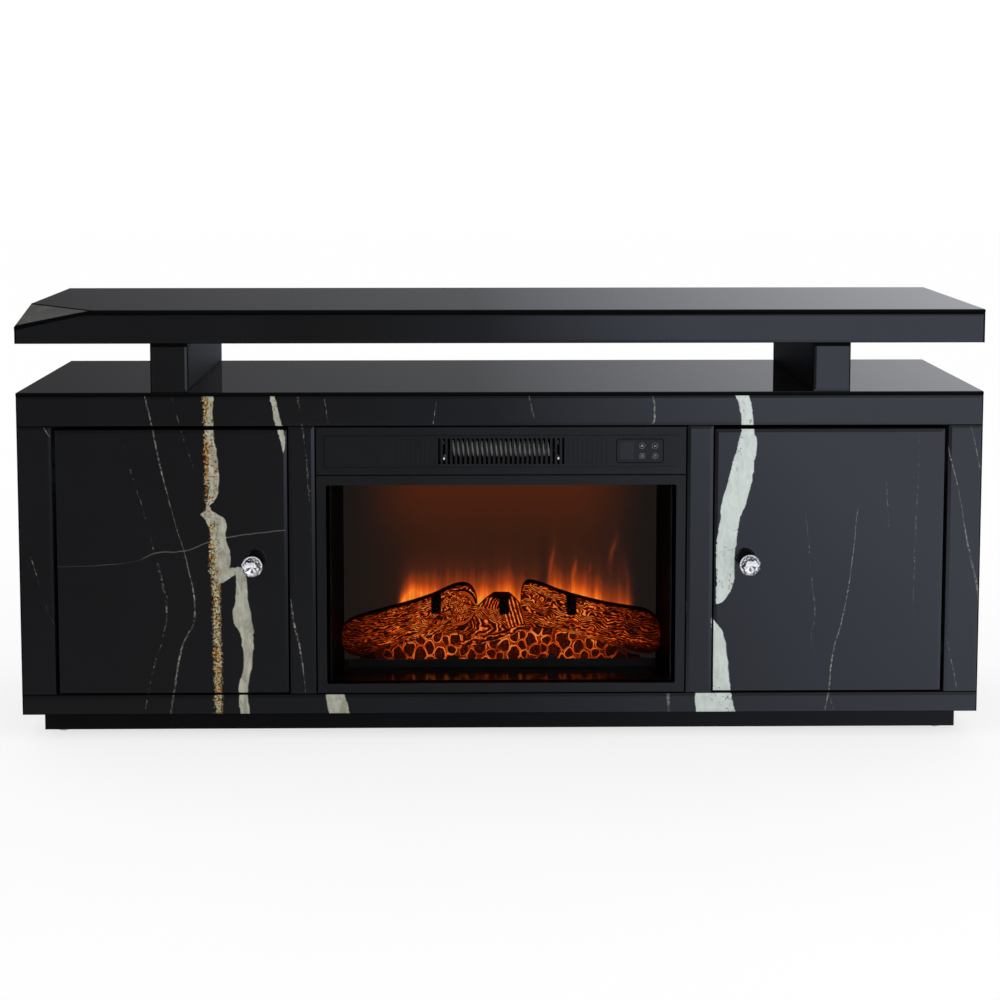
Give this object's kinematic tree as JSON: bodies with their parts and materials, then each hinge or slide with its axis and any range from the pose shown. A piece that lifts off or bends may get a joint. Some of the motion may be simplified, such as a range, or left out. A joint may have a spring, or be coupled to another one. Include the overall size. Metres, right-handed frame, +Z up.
{
  "type": "electric fireplace",
  "caption": "Electric fireplace set in the middle of a low black glass media cabinet with a floating top, a cut corner and hinged side doors.",
  "frame": {"origin": "on the floor at the centre of the footprint, which runs from the crystals of the knobs to the back panels", "axes": "+X to the right seen from the front, +Y from the front to the back, +Z up"},
  "size_m": [1.5, 0.434, 0.678],
  "materials": {
    "black_glass": "polished black glass, painted behind",
    "black_board": "black melamine on board",
    "knob_metal": "dark chrome",
    "crystal": "cut and polished",
    "hinge_steel": "zinc plated",
    "glide_plastic": "moulded",
    "black_steel": "matt black powder coat",
    "clear_glass": "clear toughened",
    "black_plastic": "fine texture",
    "lens_plastic": "smoked lens",
    "button_plastic": "satin",
    "circuit_green": "solder mask",
    "motor_steel": "plated",
    "bright_aluminium": "bright",
    "element_metal": "heat tinted",
    "screen_plastic": "translucent, lit from behind",
    "log_resin": "moulded bark, lit from inside"
  },
  "bodies": {
    "cabinet": {"back_panels": "black_board", "base_board": "black_board", "base_rail_glass": "black_glass", "circuit_boards": "circuit_green", "control_plate": "black_plastic", "deck_boards": "black_board", "deck_glass": "black_glass", "display_lens": "lens_plastic", "divider_boards": "black_board", "door_catches": "glide_plastic", "fan_housing": "black_steel", "fan_motor": "motor_steel", "fascia_glass": "black_glass", "firebox_liner": "black_steel", "flame_screen": "screen_plastic", "front_posts": "black_board", "glide_feet": "glide_plastic", "heating_element": "element_metal", "hinge_arms": "hinge_steel", "hinge_pins": "hinge_steel", "hinge_screws": "hinge_steel", "insert_shell": "black_steel", "led_strips": "circuit_green", "log_set": "log_resin", "log_tray": "black_steel", "mains_gland": "black_plastic", "panel_screws": "hinge_steel", "plinth_boards": "black_board", "rotor_bracket": "black_steel", "rotor_motor": "motor_steel", "shelf_pins": "hinge_steel", "shelves": "black_board", "side_glass": "black_glass", "side_panels": "black_board", "slab_core": "black_board", "slab_corner_glass": "black_glass", "slab_edge_glass": "black_glass", "slab_top_glass": "black_glass", "stile_glass": "black_glass", "support_blocks": "black_board", "support_glass": "black_glass", "vent_panel": "black_plastic", "window_frame": "black_steel", "window_glass": "clear_glass"},
    "door_left": {"door_left_board": "black_board", "door_left_crystal": "crystal", "door_left_glass": "black_glass", "door_left_hinge_cups": "hinge_steel", "door_left_knob_base": "knob_metal"},
    "door_right": {"door_right_board": "black_board", "door_right_crystal": "crystal", "door_right_glass": "black_glass", "door_right_hinge_cups": "hinge_steel", "door_right_knob_base": "knob_metal"},
    "button_up": {"button_up": "button_plastic"},
    "button_down": {"button_down": "button_plastic"},
    "button_timer": {"button_timer": "button_plastic"},
    "button_power": {"button_power": "button_plastic"},
    "fan_rotor": {"fan_rotor": "bright_aluminium"},
    "flame_rotor": {"flame_rotor": "bright_aluminium"}
  },
  "joints": [
    {"name": "door_left_hinge", "type": "hinge", "parent": "cabinet", "child": "door_left", "pos_m": [-0.675, -0.1695, 0.283], "axis": [0, 0, -1], "range_deg": [0, 95]},
    {"name": "door_right_hinge", "type": "hinge", "parent": "cabinet", "child": "door_right", "pos_m": [0.675, -0.1695, 0.283], "axis": [0, 0, 1], "range_deg": [0, 95]},
    {"name": "button_up_press", "type": "slide", "parent": "cabinet", "child": "button_up", "axis": [0, 1, 0], "range_m": [0, 0.0008], "stiffness_N_per_m": 400, "springref_m": -0.0008},
    {"name": "button_down_press", "type": "slide", "parent": "cabinet", "child": "button_down", "axis": [0, 1, 0], "range_m": [0, 0.0008], "stiffness_N_per_m": 400, "springref_m": -0.0008},
    {"name": "button_timer_press", "type": "slide", "parent": "cabinet", "child": "button_timer", "axis": [0, 1, 0], "range_m": [0, 0.0008], "stiffness_N_per_m": 400, "springref_m": -0.0008},
    {"name": "button_power_press", "type": "slide", "parent": "cabinet", "child": "button_power", "axis": [0, 1, 0], "range_m": [0, 0.0008], "stiffness_N_per_m": 400, "springref_m": -0.0008},
    {"name": "fan_spin", "type": "hinge", "parent": "cabinet", "child": "fan_rotor", "pos_m": [0, -0.091, 0.457], "axis": [1, 0, 0], "continuous": true},
    {"name": "flame_spin", "type": "hinge", "parent": "cabinet", "child": "flame_rotor", "pos_m": [0, -0.028, 0.122], "axis": [1, 0, 0], "continuous": true}
  ]
}
